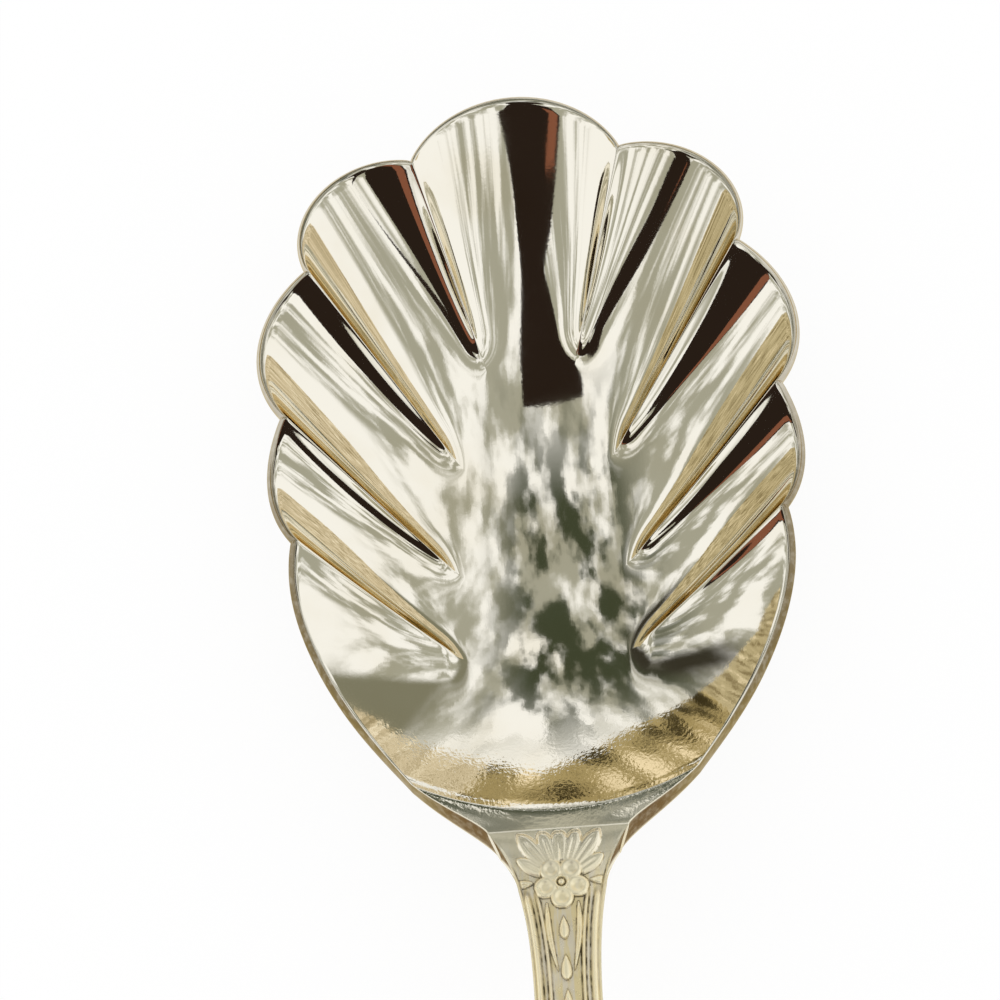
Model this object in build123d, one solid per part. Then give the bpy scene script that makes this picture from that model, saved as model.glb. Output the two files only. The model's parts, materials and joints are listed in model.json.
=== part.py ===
from build123d import *
import os
import numpy as np

# Sugar spoon with a fluted shell bowl, lying on a table: bowl tip towards +Y, handle end towards -Y,
# +Z up, millimetres. Plan sizes of the bowl are measured from its deepest point.

# Bowl: the floor that the flutes run down to
FLOOR_DEPTH = 7.3
FLOOR_HALF_WIDTH = 20.0
FLOOR_HALF_LENGTH = 25.8
TIP_FLATTENING = 0.2
FLOOR_SQUARENESS = 0.45

# Bowl: metal
SHEET = 1.0
HEEL_THICKNESS = 2.3
HEEL_THICKENING_AT = 18.0
HEEL_THICKENING_RUN = 2.2
REST_WEAR = 0.1

# Bowl: ridges between the flutes, from the tip round to the plain side
RIDGE_RIM = [(7.7, 24.6), (15.8, 16.3), (18.0, 5.1), (17.7, -4.2)]
RIDGE_END = [(3.3, 10.2), (5.3, 2.5), (5.85, -6.0), (5.7, -13.1)]
RIDGE_HEIGHT = [2.6, 2.6, 2.5, 2.0]
RIDGE_FULLNESS = 0.5

# Bowl: how far each lobe of the rim swells past its two ridges, from the tip lobe to the last one
LOBE_BULGE = [5.1, 3.85, 2.65, 1.45]

# Bowl: plain side, heel and shoulder
SIDE_SWELL = (19.4, -10.5)
SIDE_CLOSE = (14.0, -18.3)
HEEL_CORNER = (10.3, -23.4)
HEEL_ARC = 2.7
HEEL_STRIP = 0.31
SHOULDER_OUT = (8.2, -25.5)
SHOULDER_EASE = 0.95

# Neck joint: a brazed scarf
JOINT_Y = -27.7
JOINT_RISE = 0.35
NECK_HALF_WIDTH = 5.05
NECK_THICKNESS = 2.9
NECK_EDGE = 1.9
SCARF_SLOPE = 0.8
BRAZE = 0.1

# Handle: lengths along it, from the joint or back from its end
HANDLE_LENGTH = 96.7
THROAT_AT = 4.0
WAIST_AT = 22.8
GRIP_BACK = 36.4
SPREAD_BACK = 11.4
END_BULGE = 3.4

# Handle: half widths and how fast they change
NECK_TAPER = -0.55
THROAT_HALF_WIDTH = 3.4
THROAT_TAPER = -0.21
WAIST_HALF_WIDTH = 2.85
GRIP_HALF_WIDTH = 3.9
GRIP_FLARE = 0.12
SPREAD_HALF_WIDTH = 8.2
END_HALF_WIDTH = 6.0
END_TAPER = -0.55

# Handle: height of its upper face and the slope of that face along it
NECK_CLIMB = 0.22
THROAT_RISE = 0.9
THROAT_CLIMB = 0.23
WAIST_RISE = 4.6
WAIST_CLIMB = 0.12
GRIP_HEIGHT = 14.2
GRIP_DROP = -0.24
SPREAD_HEIGHT = 5.9
SPREAD_DROP = -0.40
END_DROP = -0.34

# Handle: thickness in the middle and at the edges
THROAT_THICKNESS = 2.88
THROAT_EDGE = 1.89
WAIST_THICKNESS = 2.7
WAIST_EDGE = 1.8
GRIP_THICKNESS = 2.2
GRIP_EDGE = 1.5
SPREAD_THICKNESS = 1.7
SPREAD_EDGE = 1.2
END_THICKNESS = 1.6
END_EDGE = 1.2

# Handle: raised thread along each edge
THREAD_WIDTH = 0.9
THREAD_HEIGHT = 0.3

# Every patch is a Bezier net through this many sample points a side
DEGREE = 10
NODES = 0.5 - 0.5 * np.cos(np.pi * np.arange(DEGREE + 1) / DEGREE)


def bernstein(degree, at):
    rows = []
    for k in range(degree + 1):
        rows.append(at**k * (1 - at) ** (degree - k))
    weights = [1.0]
    for k in range(degree):
        weights.append(weights[-1] * (degree - k) / (k + 1))
    return np.array(rows).T * np.array(weights)


SOLVE = np.linalg.inv(bernstein(DEGREE, NODES))


def control_net(samples):
    net = np.einsum("ij,jkc->ikc", SOLVE, samples)
    return np.einsum("ij,kjc->kic", SOLVE, net)


def control_line(samples):
    return SOLVE @ samples


def vectors(points):
    return [Vector(*[float(value) for value in point]) for point in points]


def patch_face(samples):
    return Face.make_bezier_surface([vectors(row) for row in control_net(samples)])


def wall_face(first, second):
    return Face.make_bezier_surface([vectors(control_line(first)), vectors(control_line(second))])


def curve_edge(samples):
    return Edge.make_bezier(*vectors(control_line(samples)))


def grid():
    return np.meshgrid(NODES, NODES, indexing="ij")


def stack(x, y, z):
    return np.stack([x, y, z], axis=-1)


def mirrored(samples):
    return samples * np.array([-1.0, 1.0, 1.0])


def along(start, end, share):
    start, end = np.array(start), np.array(end)
    return start + share[..., None] * (end - start)


def arc_between(start, end, bulge, share):
    """Points on the arc from start to end that swells to the left of travel."""
    start, end = np.array(start), np.array(end)
    chord = end - start
    length = np.hypot(*chord)
    radius = (length**2 / 4 + bulge**2) / (2 * bulge)
    forward = chord / length
    left = np.array([-forward[1], forward[0]])
    centre = (start + end) / 2 + left * (bulge - radius)
    half_angle = 2 * np.arctan(2 * bulge / length)
    angle = (2 * share[..., None] - 1) * half_angle
    return centre + radius * (np.sin(angle) * forward + np.cos(angle) * left)


def cubic(start, first, second, end, share):
    """Points on a cubic curve with two guide points."""
    start, first, second, end = [np.array(point) for point in (start, first, second, end)]
    near = 1 - share[..., None]
    far = share[..., None]
    return near**3 * start + 3 * near**2 * far * first + 3 * near * far**2 * second + far**3 * end


def floor_height(x, y):
    across = (x / FLOOR_HALF_WIDTH) ** 2
    lengthwise = y / FLOOR_HALF_LENGTH
    lengthwise = lengthwise**2 * (1 - TIP_FLATTENING * lengthwise)
    rise = across + lengthwise - FLOOR_SQUARENESS * across * lengthwise
    return SHEET - REST_WEAR + FLOOR_DEPTH * rise


def floor_normal(x, y):
    across = (x / FLOOR_HALF_WIDTH) ** 2
    share = y / FLOOR_HALF_LENGTH
    lengthwise = share**2 * (1 - TIP_FLATTENING * share)
    slope_x = 2 * x / FLOOR_HALF_WIDTH**2 * (1 - FLOOR_SQUARENESS * lengthwise)
    slope_y = (2 * share - 3 * TIP_FLATTENING * share**2) / FLOOR_HALF_LENGTH
    slope_y = slope_y * (1 - FLOOR_SQUARENESS * across)
    normal = stack(-FLOOR_DEPTH * slope_x, -FLOOR_DEPTH * slope_y, np.ones_like(x))
    return normal / np.linalg.norm(normal, axis=-1, keepdims=True)


def metal(top):
    """Step from the upper face to the under face, thicker and more upright towards the heel."""
    heel = 1 / (1 + np.exp((top[..., 1] + HEEL_THICKENING_AT) / HEEL_THICKENING_RUN))[..., None]
    step = (1 - heel) * floor_normal(top[..., 0], top[..., 1]) + heel * np.array([0.0, 0.0, 1.0])
    step = step / np.linalg.norm(step, axis=-1, keepdims=True)
    return step * (SHEET + (HEEL_THICKNESS - SHEET) * heel)


def ridge_growth(out):
    """Share of a ridge's full height, from its inner end at 0 to the rim at 1."""
    return out * (1 + RIDGE_FULLNESS * (1 - out))


def left_of(point):
    return (-point[0], point[1])


def flute(ends, rims, heights, bulge):
    """One flute: a hollow between two ridges, narrow-crested at the inner end and round at the rim."""
    across, out = grid()
    inner = along(ends[0], ends[1], across)
    rim = arc_between(rims[0], rims[1], bulge, across)
    plan = (1 - out[..., None]) * inner + out[..., None] * rim
    side = 2 * across - 1
    hollow = out * side**2 + (1 - out) * side**6
    height = heights[0] + (heights[1] - heights[0]) * across
    z = floor_height(plan[..., 0], plan[..., 1]) + height * ridge_growth(out) * hollow
    return stack(plan[..., 0], plan[..., 1], z)


def heel_point(share):
    """Points on the arc where the hollow of the bowl ends, from the left corner to the right one."""
    return arc_between(left_of(HEEL_CORNER), HEEL_CORNER, -HEEL_ARC, share)


def plain_side():
    """The smooth wall between the last ridge and the heel."""
    out, down = grid()
    ridge = along(RIDGE_END[-1], RIDGE_RIM[-1], out)
    heel = heel_point(1 - HEEL_STRIP * (1 - out))
    rim = cubic(RIDGE_RIM[-1], SIDE_SWELL, SIDE_CLOSE, HEEL_CORNER, down)
    swell = rim - along(RIDGE_RIM[-1], HEEL_CORNER, down)
    plan = (1 - down[..., None]) * ridge + down[..., None] * heel + out[..., None] * swell
    fade = out * (1 - down) ** 6 + (1 - out) * (1 - down) ** 10
    z = floor_height(plan[..., 0], plan[..., 1]) + RIDGE_HEIGHT[-1] * ridge_growth(out) * fade
    return stack(plan[..., 0], plan[..., 1], z)


def middle_strip(upper, lower):
    """Smooth floor between a left and right ridge end and the next pair."""
    across, down = grid()
    plan = (1 - down[..., None]) * along(left_of(upper), upper, across) + down[..., None] * lower(across)
    return stack(plan[..., 0], plan[..., 1], floor_height(plan[..., 0], plan[..., 1]))


def joint_z():
    return floor_height(0.0, HEEL_CORNER[1] - HEEL_ARC) + JOINT_RISE


def neck_belly(side):
    return NECK_EDGE + (NECK_THICKNESS - NECK_EDGE) * (1 - side**2)


def blend(start, end, start_slope, end_slope, run, share):
    """Cubic from start to end over a run, with a slope at each end."""
    near = 1 - share
    value = near**2 * (1 + 2 * share) * start + share**2 * (1 + 2 * near) * end
    return value + run * share * near * (near * start_slope - share * end_slope)


def neck_width(reach):
    """Half width of the handle at a distance from the joint, as far as the throat."""
    return blend(NECK_HALF_WIDTH, THROAT_HALF_WIDTH, NECK_TAPER, THROAT_TAPER, THROAT_AT, reach / THROAT_AT)


def under_joint(side):
    """Step from the upper edge of the scarf to its under edge."""
    belly = neck_belly(side)
    narrowing = NECK_HALF_WIDTH - neck_width(SCARF_SLOPE * NECK_EDGE)
    return stack(side * narrowing, SCARF_SLOPE * belly, belly)


def heel_lip(from_share, to_share):
    """Nearly flat lip from the heel arc to the joint; returns its upper and under samples."""
    across, down = grid()
    share = from_share + (to_share - from_share) * across
    heel = heel_point(share)
    side = 2 * share - 1
    joint = np.stack([side * NECK_HALF_WIDTH, np.full_like(side, JOINT_Y)], axis=-1)
    plan = (1 - down[..., None]) * heel + down[..., None] * joint
    corner = (NECK_HALF_WIDTH, JOINT_Y)
    shoulder_in = (NECK_HALF_WIDTH - NECK_TAPER * SHOULDER_EASE, JOINT_Y + SHOULDER_EASE)
    swell = cubic(HEEL_CORNER, SHOULDER_OUT, shoulder_in, corner, down) - along(HEEL_CORNER, corner, down)
    outward = np.clip((np.abs(side) - 1) / HEEL_STRIP / 2 + 1, 0, 1)
    plan = plan + outward[..., None] * swell * np.stack([np.sign(side), np.ones_like(side)], axis=-1)
    heel_z = floor_height(heel[..., 0], heel[..., 1])
    top = stack(plan[..., 0], plan[..., 1], (1 - down) * heel_z + down * joint_z())
    at_heel = metal(stack(heel[..., 0], heel[..., 1], heel_z))
    return top, top - (1 - down[..., None]) * at_heel - down[..., None] * under_joint(side)


def solid_from(faces):
    return Solid(Shell(faces))


def bowl_solid():
    faces = []
    rim_walls = []
    sheets = [flute([left_of(RIDGE_END[0]), RIDGE_END[0]], [left_of(RIDGE_RIM[0]), RIDGE_RIM[0]],
                    [RIDGE_HEIGHT[0], RIDGE_HEIGHT[0]], LOBE_BULGE[0])]
    rim_walls.append(sheets[0][:, -1])
    for k in range(len(RIDGE_RIM) - 1):
        right = flute(RIDGE_END[k:k + 2], RIDGE_RIM[k:k + 2], RIDGE_HEIGHT[k:k + 2], LOBE_BULGE[k + 1])
        sheets += [right, mirrored(right)]
        rim_walls += [right[:, -1], mirrored(right[:, -1])]
    side = plain_side()
    sheets += [side, mirrored(side)]
    rim_walls += [side[-1], mirrored(side[-1])]
    for upper, lower in zip(RIDGE_END, RIDGE_END[1:]):
        sheets.append(middle_strip(upper, lambda across: along(left_of(lower), lower, across)))
    strip = lambda across: heel_point(HEEL_STRIP + (1 - 2 * HEEL_STRIP) * across)
    sheets.append(middle_strip(RIDGE_END[-1], strip))
    for top in sheets:
        faces += [patch_face(top), patch_face(top - metal(top))]
    for rim in rim_walls:
        faces.append(wall_face(rim, rim - metal(rim)))
    joint_edges = []
    for shares in ((0, HEEL_STRIP), (HEEL_STRIP, 1 - HEEL_STRIP), (1 - HEEL_STRIP, 1)):
        top, under = heel_lip(*shares)
        faces += [patch_face(top), patch_face(under)]
        joint_edges += [curve_edge(top[:, -1]), curve_edge(under[:, -1])]
        for end, edge_share in ((0, 0), (-1, 1)):
            if shares[end] == edge_share:
                faces.append(wall_face(top[end], under[end]))
                joint_edges.append(curve_edge(along(top[end, -1], under[end, -1], NODES)))
    faces.append(Face(Wire(joint_edges)))
    bowl = solid_from(faces)
    below = Box(4 * FLOOR_HALF_WIDTH, 4 * FLOOR_HALF_LENGTH, SHEET, align=(Align.CENTER, Align.CENTER, Align.MAX))
    return bowl - below


def handle_stations():
    joint = dict(at=0.0, width=NECK_HALF_WIDTH, flare=NECK_TAPER, z=joint_z(), climb=NECK_CLIMB,
                 middle=NECK_THICKNESS, edge=NECK_EDGE, thread=0.0)
    throat = dict(at=THROAT_AT, width=THROAT_HALF_WIDTH, flare=THROAT_TAPER, z=joint_z() + THROAT_RISE,
                  climb=THROAT_CLIMB, middle=THROAT_THICKNESS, edge=THROAT_EDGE, thread=0.0)
    waist = dict(at=WAIST_AT, width=WAIST_HALF_WIDTH, flare=0.0, z=joint_z() + WAIST_RISE, climb=WAIST_CLIMB,
                 middle=WAIST_THICKNESS, edge=WAIST_EDGE, thread=THREAD_HEIGHT)
    grip = dict(at=HANDLE_LENGTH - GRIP_BACK, width=GRIP_HALF_WIDTH, flare=GRIP_FLARE, z=GRIP_HEIGHT,
                climb=GRIP_DROP, middle=GRIP_THICKNESS, edge=GRIP_EDGE, thread=THREAD_HEIGHT)
    spread = dict(at=HANDLE_LENGTH - SPREAD_BACK, width=SPREAD_HALF_WIDTH, flare=0.0, z=SPREAD_HEIGHT,
                  climb=SPREAD_DROP, middle=SPREAD_THICKNESS, edge=SPREAD_EDGE, thread=THREAD_HEIGHT)
    end = dict(at=HANDLE_LENGTH - END_BULGE, width=END_HALF_WIDTH, flare=END_TAPER, z=END_THICKNESS,
               climb=END_DROP, middle=END_THICKNESS, edge=END_EDGE, thread=0.0)
    return [joint, throat, waist, grip, spread, end]


def handle_length_samples(near, far, column, first, last):
    """Upper and under samples of one column of the handle between two stations."""
    across, down = grid()
    run = far["at"] - near["at"]
    width = blend(near["width"], far["width"], near["flare"], far["flare"], run, down)
    z = blend(near["z"], far["z"], near["climb"], far["climb"], run, down)
    middle = blend(near["middle"], far["middle"], 0.0, 0.0, run, down)
    edge = blend(near["edge"], far["edge"], 0.0, 0.0, run, down)
    thread = blend(near["thread"], far["thread"], 0.0, 0.0, run, down)
    panel = width - THREAD_WIDTH
    if column == 0:
        x = panel * (2 * across - 1)
        raised = np.zeros_like(x)
    else:
        x = column * (panel + THREAD_WIDTH * across)
        raised = 4 * across * (1 - across) * thread
    side = x / width
    reach = near["at"] + run * down
    if last:
        reach = reach + down * END_BULGE * (1 - side**2)
    y = JOINT_Y - BRAZE - reach
    belly = edge + (middle - edge) * (1 - side**2)
    top = stack(x, y, z + raised)
    if first:
        at_joint = under_joint(side)
        later = stack(np.zeros_like(belly), np.zeros_like(belly), belly)
        return top, stack(x, y, z) - (1 - down[..., None]) * at_joint - down[..., None] * later
    return top, stack(x, y, z - belly)


def handle_solid():
    faces = []
    joint_edges = []
    stations = handle_stations()
    for k, (near, far) in enumerate(zip(stations, stations[1:])):
        first = k == 0
        last = k == len(stations) - 2
        for column in (-1, 0, 1):
            top, under = handle_length_samples(near, far, column, first, last)
            faces += [patch_face(top), patch_face(under)]
            if column != 0:
                faces.append(wall_face(top[-1], under[-1]))
            if last:
                faces.append(wall_face(top[:, -1], under[:, -1]))
            if first:
                joint_edges += [curve_edge(top[:, 0]), curve_edge(under[:, 0])]
                if column != 0:
                    joint_edges.append(curve_edge(along(top[-1, 0], under[-1, 0], NODES)))
    joint = Face(Wire(joint_edges))
    faces.append(joint)
    return solid_from(faces), joint


def main():
    bowl = bowl_solid()
    handle, joint = handle_solid()
    seam = Solid.extrude(joint, Vector(0, BRAZE, 0))
    tip = bowl.bounding_box().max.Y
    end = handle.bounding_box().min.Y
    to_frame = Location((0, -(tip + end) / 2, 0))
    os.makedirs("parts", exist_ok=True)
    for name, solid in (("bowl", bowl), ("handle", handle), ("braze_seam", seam)):
        placed = to_frame * solid
        placed.label = name
        export_step(placed, "parts/" + name + ".step")


main()
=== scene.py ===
import json
import math
from collections import namedtuple

import bmesh
import bpy
import numpy as np
from mathutils import Matrix, Vector


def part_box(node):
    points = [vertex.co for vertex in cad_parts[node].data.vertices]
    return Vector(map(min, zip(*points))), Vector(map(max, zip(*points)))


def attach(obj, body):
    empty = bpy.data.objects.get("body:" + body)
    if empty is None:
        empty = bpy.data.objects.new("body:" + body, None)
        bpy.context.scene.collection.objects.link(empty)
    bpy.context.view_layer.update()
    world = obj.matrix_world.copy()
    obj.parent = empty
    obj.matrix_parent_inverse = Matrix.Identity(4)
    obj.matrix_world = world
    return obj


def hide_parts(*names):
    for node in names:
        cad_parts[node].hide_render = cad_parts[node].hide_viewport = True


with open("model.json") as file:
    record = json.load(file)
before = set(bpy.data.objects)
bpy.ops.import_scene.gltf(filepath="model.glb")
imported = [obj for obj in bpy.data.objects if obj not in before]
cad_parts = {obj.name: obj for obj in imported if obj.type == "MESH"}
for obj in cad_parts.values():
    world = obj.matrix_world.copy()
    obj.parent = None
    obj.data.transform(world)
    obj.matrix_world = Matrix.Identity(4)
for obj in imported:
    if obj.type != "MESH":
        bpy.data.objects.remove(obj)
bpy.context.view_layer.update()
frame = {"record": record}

# Shapes are worked out in millimetres, in plan from the bowl's deepest point, and placed in metres
MM = 0.001

# Floor of the bowl, which the flutes run down to
FLOOR_DEPTH = 7.3
FLOOR_HALF_WIDTH = 20.0
FLOOR_HALF_LENGTH = 25.8
TIP_FLATTENING = 0.2
FLOOR_SQUARENESS = 0.45

# Metal of the bowl
SHEET = 1.0
HEEL_THICKNESS = 2.3
HEEL_THICKENING_AT = 18.0
HEEL_THICKENING_RUN = 2.2
REST_WEAR = 0.1

# Ridges between the flutes, from the tip round to the plain side, and the lobes of the rim
RIDGE_RIM = [(7.7, 24.6), (15.8, 16.3), (18.0, 5.1), (17.7, -4.2)]
RIDGE_END = [(3.3, 10.2), (5.3, 2.5), (5.85, -6.0), (5.7, -13.1)]
RIDGE_HEIGHT = [2.6, 2.6, 2.5, 2.0]
RIDGE_FULLNESS = 0.5
RIDGE_RUN_IN = 0.16
LOBE_BULGE = [5.1, 3.85, 2.65, 1.45]
CREST_DROP = 0.05

# Powers that shape a flute across, and the last ridge's fall to the plain wall, at the rim and inner end
RIM_HOLLOW = 2
END_HOLLOW = 6
RIM_FALL = 6
END_FALL = 10

# Dull film on the handle: its share at the joint, and the part of the lip and run of handle where it grows
JOINT_FILM = 0.35
FILM_LIP = 0.6
FILM_RUN = 5.0

# Orange peel that the hammered plate shows towards the heel
PEEL_FROM = -16.0
PEEL_RUN = 6.0
HEEL_PEEL = 0.42
HANDLE_PEEL = 0.3
LIP_PEEL = 0.6

# Plain side, heel and shoulder of the bowl
SIDE_SWELL = (19.4, -10.5)
SIDE_CLOSE = (14.0, -18.3)
HEEL_CORNER = (10.3, -23.4)
HEEL_ARC = 2.7
HEEL_STRIP = 0.31
HEEL_ROUND = 0.22
HEEL_DROP = 0.06
SHOULDER_OUT = (8.2, -25.5)
SHOULDER_EASE = 0.95

# Neck joint
JOINT_Y = -27.7
JOINT_RISE = 0.35
NECK_HALF_WIDTH = 5.05
NECK_THICKNESS = 2.9
NECK_EDGE = 1.9
SCARF_SLOPE = 0.8
BRAZE = 0.1
BRAZE_SWELL = 1.0003

# Handle: lengths along it, from the joint or back from its end
HANDLE_LENGTH = 96.7
THROAT_AT = 4.0
WAIST_AT = 22.8
GRIP_BACK = 36.4
SPREAD_BACK = 11.4
END_BULGE = 3.4

# Handle: half widths and how fast they change
NECK_TAPER = -0.55
THROAT_HALF_WIDTH = 3.4
THROAT_TAPER = -0.21
WAIST_HALF_WIDTH = 2.85
GRIP_HALF_WIDTH = 3.9
GRIP_FLARE = 0.12
SPREAD_HALF_WIDTH = 8.2
END_HALF_WIDTH = 6.0
END_TAPER = -0.55

# Handle: height of its upper face and the slope of that face
NECK_CLIMB = 0.22
THROAT_RISE = 0.9
THROAT_CLIMB = 0.23
WAIST_RISE = 4.6
WAIST_CLIMB = 0.12
GRIP_HEIGHT = 14.2
GRIP_DROP = -0.24
SPREAD_HEIGHT = 5.9
SPREAD_DROP = -0.40
END_DROP = -0.34

# Handle: thickness in the middle and at the edges
THROAT_THICKNESS = 2.88
THROAT_EDGE = 1.89
WAIST_THICKNESS = 2.7
WAIST_EDGE = 1.8
GRIP_THICKNESS = 2.2
GRIP_EDGE = 1.5
SPREAD_THICKNESS = 1.7
SPREAD_EDGE = 1.2
END_THICKNESS = 1.6
END_EDGE = 1.2

# Rounded rims: a sheet stops this share of the way out, or this far in, and the round does the rest
RIM_START = 0.972
RIM_STEPS = 14
RIM_SQUARENESS = 0.85
HANDLE_ROUND = 0.3
HANDLE_ROUND_RUN = 1.5

# Worn plate and painted shade on the side walls of the rims: its share at the tip, where it is full along the
# spoon, and the run over which it grows
TIP_WEAR_AND_SHADE = 0.35
FULL_WEAR_AND_SHADE_Y = -12.0
WEAR_AND_SHADE_RUN = 26.0

# Where the wear and painted shade start and stop over the round of a rim, in shares of the way from its upper
# edge
WEAR_AND_SHADE_START = 0.1
WEAR_AND_SHADE_START_RUN = 0.12
WEAR_AND_SHADE_STOP = 0.9
WEAR_AND_SHADE_STOP_RUN = 0.2

# Upper face of the handle: its crown, and the sunk field that carries the ornament
CROWN = 0.3
CROWN_RUN = 4.0
FIELD_DEPTH = 0.18
FIELD_RAMP = 4.5
FIELD_EDGE = 0.25
FIELD_END = 0.8
FIELD_END_RUN = 1.5
RAISED_RAMP = 0.5
MOTIF_INSET = 0.15
MOTIF_RUN = 0.2
RUBBED_HEIGHT = 0.1

# Struck ornament: a spray of leaves with a five-petalled flower behind the joint, and one at the end
FLOWER_AT = 4.05
FLOWER_RADIUS = 2.05
FLOWER_HEIGHT = 0.3
LEAF_HEIGHT = 0.24
BUD_HEIGHT = 0.34
END_SPRAY_BACK = 14.5
END_SPRAY_SCALE = 1.7
ORNAMENT_LENGTH = 17.5
END_ORNAMENT_BACK = 27.0

# Leaves of the two fans: heading in degrees, length and half width
FAN = [(0, 3.95, 0.6), (20, 4.25, 0.62), (39, 4.8, 0.66), (60, 3.6, 0.55)]
END_FAN = [(14, 5.4, 0.6), (38, 4.6, 0.6), (64, 3.9, 0.58),
           (92, 3.7, 0.58), (120, 4.1, 0.6), (148, 4.5, 0.6)]
FAN_CURL = 0.04
FAN_SHAPE = 1.8
FAN_START = 0.7
FAN_START_RUN = 0.15

# Scroll and frond on each side: place beside and behind the flower, heading, length, half width and curl
BLADES = [(3.7, -0.1, -100, 1.7, 0.36, 0.15), (1.1, 1.5, 178, 5.2, 0.22, 0.14)]
BLADE_SHAPE = 0.8

# Section and vein of a leaf, in shares of its length and half width
LEAF_FULLNESS = 0.6
LEAF_SQUARENESS = 4
LEAF_FALL = 0.25
VEIN_DEPTH = 0.3
VEIN_WIDTH = 0.16
VEIN_END = 0.9
VEIN_RUN = 0.2

# Petals, ring and boss of a flower, in shares of its radius
PETALS = 5
PETAL_MIDDLE = 0.58
PETAL_HALF_LENGTH = 0.42
PETAL_HALF_WIDTH = 0.4
PETAL_SQUARENESS = 6
PETAL_CUP = 0.45
CUP_START = 0.25
CUP_RUN = 0.5
NOTCH_DEPTH = 0.1
NOTCH_WIDTH = 0.12
NOTCH_START = 0.7
NOTCH_RUN = 0.3
HEART_RADIUS = 0.12
HEART_RUN = 0.12
RING_RADIUS = 0.22
RING_HALF_WIDTH = 0.07
BOSS_RADIUS = 0.13
BOSS_HEIGHT = 1.15

# Drops: distance behind the flower, length and half width, and a factor that makes that width their widest
BUDS = [(2.6, 1.7, 0.36), (5.5, 1.9, 0.4), (8.1, 1.6, 0.3), (9.9, 1.3, 0.24)]
END_BUD = (2.3, 2.0, 0.5)
BUD_FULLNESS = 2.6

# Threads along the edges: distance from the edge, half width and share of the height
THREADS = [(0.42, 0.36, 1.0), (1.15, 0.24, 0.6)]
THREAD_HEIGHT = 0.3
THREAD_START = 4.4
THREAD_END = 2.5
THREAD_RUN = 1.2

# Grime: the slope that catches all of it, its growth with depth, and its shares in the field and at steps
STEEP = 0.9
GRIME_GROWTH = 1.4
GRIME_START = 0.2
FIELD_GRIME = 0.05
STEP_GRIME = 1.8

# Where the bowl's deepest point lies along the spoon, worked out from the handle's end of the joint
BOWL_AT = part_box("handle")[1].y - (JOINT_Y - BRAZE) * MM

# Camera, fitted to the photograph: angles in degrees, lengths in millimetres from the deepest point
CAMERA_AZIMUTH = 5.0
CAMERA_ELEVATION = 70.0
CAMERA_ROLL = -8.88
CAMERA_DISTANCE = 320.0
CAMERA_AIM = (-2.69, -2.55, 9.0)
FOCAL_SHARE = 4.419
SENSOR_WIDTH = 36.0
CLIP_NEAR = 10.0
CLIP_FAR = 20000.0

# Sample points over the patches of the bowl, crowded where a patch bends most
PATCH_POINTS = 49
WALL_POINTS = 57
WALL_CROWDING = 2
LIP_POINTS = 25
LIP_CROWDING = 1.6
ACROSS = 0.5 - 0.5 * np.cos(np.linspace(0, np.pi, PATCH_POINTS))
OUT = np.linspace(0, RIM_START, PATCH_POINTS)
DOWN = np.linspace(0, 1, WALL_POINTS) ** WALL_CROWDING
LIP = np.linspace(0, 1, LIP_POINTS) ** LIP_CROWDING

# Sample points over the handle: how many across, how far they crowd to the edges, and their steps along it
HANDLE_COLUMNS = 133
EDGE_CROWDING = 0.25
NECK_STEP = 0.075
PLAIN_STEP = 0.5
END_STEP = 0.1

# Keeps a division clear of nought
TINY = 1e-6

# Meshes: lengths in metres under which points and slivers merge, and the angle past which a fold is sharp
WELD = 1e-7
SLIVER = 1e-8
FOLD_DEGREES = 50


def stack(x, y, z):
    return np.stack([x, y, z], axis=-1)


def mirrored(points):
    return points * np.array([-1.0, 1.0, 1.0])


def left_of(point):
    return (-point[0], point[1])


def along(start, end, share):
    start, end = np.array(start), np.array(end)
    return start + share[..., None] * (end - start)


def smooth_step(value):
    value = np.clip(value, 0, 1)
    return value**2 * (3 - 2 * value)


def blend(start, end, start_slope, end_slope, run, share):
    """Cubic from start to end over a run, with a slope at each end."""
    near = 1 - share
    value = near**2 * (1 + 2 * share) * start + share**2 * (1 + 2 * near) * end
    return value + run * share * near * (near * start_slope - share * end_slope)


def arc_between(start, end, bulge, share):
    """Points on the arc from start to end that swells to the left of travel."""
    start, end = np.array(start), np.array(end)
    chord = end - start
    length = np.hypot(*chord)
    radius = (length**2 / 4 + bulge**2) / (2 * bulge)
    forward = chord / length
    left = np.array([-forward[1], forward[0]])
    centre = (start + end) / 2 + left * (bulge - radius)
    angle = (2 * share[..., None] - 1) * 2 * np.arctan(2 * bulge / length)
    return centre + radius * (np.sin(angle) * forward + np.cos(angle) * left)


def cubic(start, first, second, end, share):
    """Points on a cubic curve with two guide points."""
    start, first, second, end = [np.array(point) for point in (start, first, second, end)]
    near = 1 - share[..., None]
    far = share[..., None]
    return near**3 * start + 3 * near**2 * far * first + 3 * near * far**2 * second + far**3 * end


# A grid of points in millimetres, with its shares of rim wear and painted shade, grime, hammered grain,
# rubbing and film
Patch = namedtuple("Patch", "points wear grime peel rub film", defaults=(0.0, 0.0, 0.0, 0.0, 0.0))


# The bowl


def floor_height(x, y):
    across = (x / FLOOR_HALF_WIDTH) ** 2
    lengthwise = y / FLOOR_HALF_LENGTH
    lengthwise = lengthwise**2 * (1 - TIP_FLATTENING * lengthwise)
    rise = across + lengthwise - FLOOR_SQUARENESS * across * lengthwise
    return SHEET - REST_WEAR + FLOOR_DEPTH * rise


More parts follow.
